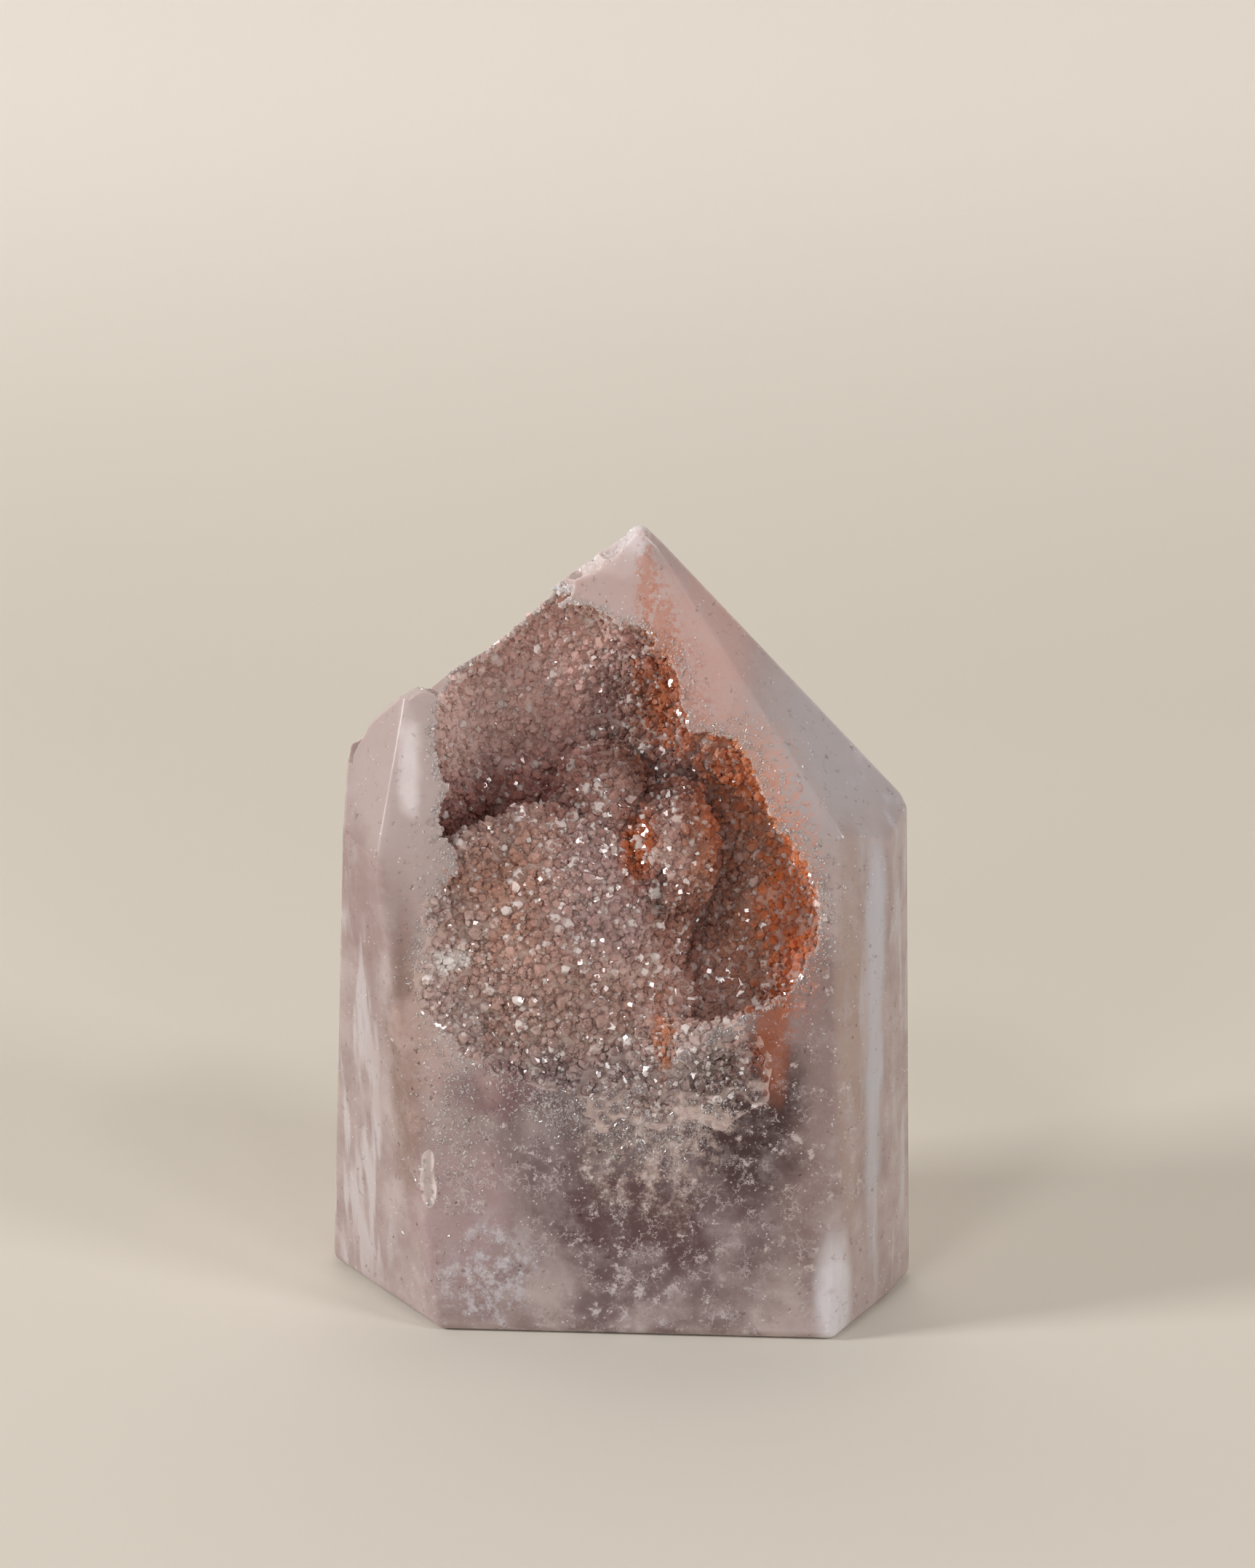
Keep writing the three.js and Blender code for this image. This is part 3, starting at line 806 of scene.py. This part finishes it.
def druse(name, roughness, scatter, scale):
    """Brownish pink to lilac quartz, stained by iron oxide down the right. Each crystal has its own tone."""
    material, tree, shader = set_up(name, roughness, scatter, CLEAR_TINT, scale)
    place = stone_places(tree)
    cloud = broad_cloud(tree, place)
    fine = ramp(tree, specks(tree, place, width=1.0, detail=4.0, roughness=0.7), 0.32, 0.68)
    colour = painted(tree, rgb("#b88f83"), rgb("#c9a69c"), cloud)
    colour = paint_zones(tree, colour, place, cloud, DRUSE_ZONES)
    polished = stone_colour(tree, place, cloud)
    for fade in FADES_TO_POLISHED:
        colour = painted(tree, colour, polished, times(tree, zone(tree, place, cloud, *fade), FADE_SHARE))
    colour = paint_zones(tree, colour, place, fine, IRON_ZONES)
    colour = paint_zones(tree, colour, place, cloud, WHITE_ZONES)
    # Darker and paler spots the size of a crystal, then painted glints: the few crystals made near white as a
    # whole, for light flashing off their faces.
    mottle = specks(tree, place, width=0.8, detail=5.0, roughness=0.75)
    colour = painted(tree, colour, rgb("#6a4a42"), ramp(tree, mottle, 0.47, 0.36, 0, 0.4))
    colour = painted(tree, colour, rgb("#eddfd9"), ramp(tree, mottle, 0.54, 0.66, 0, 0.35))
    grain = add(tree, "ShaderNodeAttribute", attribute_name="grain").outputs["Fac"]
    colour = painted(tree, colour, rgb("#f0e6e2"), ramp(tree, grain, 0.8, 0.97, 0, 0.85))
    # Painted light: the wall between the crystals is made paler, against the shade that falls in the gaps.
    colour = painted(tree, colour, rgb("#e6d2ca"), ramp(tree, grain, 0.05, 0.0, 0, 0.35))
    tree.links.new(colour, shader.inputs["Base Color"])
    return material


def backdrop():
    """A pale paper that lies under the stone and rises behind it in one sweep."""
    width, near, start, bend, top = 3.0, -1.2, 0.165, 0.25, 1.6
    bm = bmesh.new()
    ends = [bm.verts.new((x * width / 2, near, 0)) for x in (-1, 1)]
    edge = bm.edges.new(ends)
    moved = bmesh.ops.extrude_edge_only(bm, edges=[edge])["geom"]
    verts = [g for g in moved if isinstance(g, bmesh.types.BMVert)]
    bmesh.ops.translate(bm, vec=(0, start - near, 0), verts=verts)
    far = [g for g in moved if isinstance(g, bmesh.types.BMEdge)]
    swept = bmesh.ops.spin(
        bm, geom=far, cent=(0, start, bend), axis=(1, 0, 0), angle=math.radians(90), steps=32)["geom_last"]
    last = [g for g in swept if isinstance(g, bmesh.types.BMEdge)]
    moved = bmesh.ops.extrude_edge_only(bm, edges=last)["geom"]
    verts = [g for g in moved if isinstance(g, bmesh.types.BMVert)]
    bmesh.ops.translate(bm, vec=(0, 0, top), verts=verts)
    bmesh.ops.recalc_face_normals(bm, faces=bm.faces[:])
    for face in bm.faces:
        face.smooth = True
    mesh = bpy.data.meshes.new("backdrop")
    bm.to_mesh(mesh)
    bm.free()
    obj = bpy.data.objects.new("backdrop", mesh)
    bpy.context.scene.collection.objects.link(obj)
    material = bpy.data.materials.new("matt_paper")
    material.use_nodes = True
    shader = material.node_tree.nodes["Principled BSDF"]
    height = add(material.node_tree, "ShaderNodeSeparateXYZ", {
        "Vector": add(material.node_tree, "ShaderNodeTexCoord").outputs["Object"]}).outputs["Z"]
    # Painted light: the paper is made paler where it rises behind the stone, for the brighter light on the
    # upper backdrop.
    painted_light_rise = ramp(material.node_tree, height, 0.0, 0.05)
    colour = painted(material.node_tree, rgb("#ded7cc"), rgb("#f0e9df"), painted_light_rise)
    material.node_tree.links.new(colour, shader.inputs["Base Color"])
    shader.inputs["Roughness"].default_value = 0.8
    mesh.materials.append(material)


def softbox(name, at, side, power):
    """A square white light that points at the stone."""
    light = bpy.data.lights.new(name, "AREA")
    light.shape = "SQUARE"
    light.size = side
    light.energy = power
    obj = bpy.data.objects.new(name, light)
    obj.location = at
    obj.rotation_euler = (Vector(LIT_POINT) - Vector(at)).to_track_quat("-Z", "Y").to_euler()
    bpy.context.scene.collection.objects.link(obj)


def photo_camera():
    """The photograph's view of the stone."""
    camera = bpy.data.cameras.new("photo_view")
    camera.sensor_width = SENSOR_LONG_SIDE
    camera.lens = SENSOR_LONG_SIDE * PIXELS_PER_MM * CAMERA_DISTANCE / PHOTO_HEIGHT_PX
    obj = bpy.data.objects.new("photo_view", camera)
    up = math.radians(CAMERA_ELEVATION)
    back = Vector((0, -math.cos(up), math.sin(up)))
    obj.location = (Vector(CAMERA_TARGET) + back * CAMERA_DISTANCE) * MM + shift
    obj.rotation_euler = (math.radians(90) - up, 0, 0)
    bpy.context.scene.collection.objects.link(obj)
    bpy.context.scene.camera = obj


# The body comes first, because the patterns of the materials are placed by where it lies.
MATERIALS = []
body = polished_body()
body_low = Vector(map(min, *(v.co for v in body.data.vertices)))
body_high = Vector(map(max, *(v.co for v in body.data.vertices)))
low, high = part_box("tower")
shift = (low + high - body_low - body_high) / 2
shift.z = low.z - body_low.z
MATERIALS = [
    polished_amethyst(),
    druse("quartz_crystals", roughness=0.08, scatter=0.4, scale=0.8),
    druse("fine_quartz_points", roughness=0.05, scatter=0.4, scale=0.7),
    edge_crystals(),
]
for material in MATERIALS:
    body.data.materials.append(material)

rng = random.Random(SEED)
air = hollow(-WALL_INSET)
horn = rounded_body(*HORN, 0, DRUSE)
shapes = [crystal_shape(rng) for _ in range(CRYSTAL_SHAPES)]
sites = crystal_sites(air, horn, rng)
horn.data.polygons.foreach_set("material_index", [POLISHED] * len(horn.data.polygons))  # its tip is polished
ground = combine(rounded_body(*GROUND_AWAY, 0, POLISHED), [horn], "DIFFERENCE")
layers = layered(sites)
# What is cut from the stone is the air, so crystals taken out of the air are left standing on the wall.
for emptied in (air, ground):
    grown = [crystals(f"crystals_{i}", members, shapes, DRUSE, random.Random(i))
             for i, members in enumerate(layers)]
    combine(emptied, grown, "DIFFERENCE")
losses = [rounded_body(*chip, 0, DRUSE) for chip in CHIPS]
losses += [rounded_body(*gap, 0, POLISHED, BREAK_STEPS, BREAK_ROUGH, rng) for gap in BREAKS]
pits = [crystals(f"pits_{i}", members, shapes, POLISHED, rng)
        for i, members in enumerate(layered(pit_sites(body, rng)))]
stone = combine(body, [air, ground] + losses + pits, "DIFFERENCE")
largest_part(stone)
wall = Wall(stone, 1)
small_shapes = [fine_shape(rng) for _ in range(CRYSTAL_SHAPES)]
rim_points = crystals("rim_points", rim_sites(stone, rng), small_shapes, EDGE, rng)
fine_sites = standing_points(wall, FINE_POINTS, FINE_RADIUS, rng)
fine_points = crystals("fine_points", fine_sites, small_shapes, POINTS, rng)
tall_sites = standing_points(wall, TALL_POINTS, TALL_RADIUS, rng)
tall_points = crystals("tall_points", tall_sites, shapes, POINTS, rng)
stone.data.set_sharp_from_angle(angle=math.radians(SHARP_FROM))
modifier = stone.modifiers.new("weighted", "WEIGHTED_NORMAL")
modifier.keep_sharp = True
for piece, slot in ((stone, "polished_amethyst"), (rim_points, "quartz_druse"),
                    (fine_points, "quartz_druse"), (tall_points, "quartz_druse")):
    piece.data.transform(Matrix.Translation(shift))
    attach(piece, "root")
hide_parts("tower", "druse_crust")

backdrop()
for light in LIGHTS:
    softbox(*light)
world = bpy.data.worlds.new("studio")
bpy.context.scene.world = world
world.use_nodes = True
world.node_tree.nodes["Background"].inputs["Color"].default_value = rgb(ROOM_COLOUR)
world.node_tree.nodes["Background"].inputs["Strength"].default_value = ROOM_LIGHT
bpy.context.scene.view_settings.view_transform = "Standard"
photo_camera()
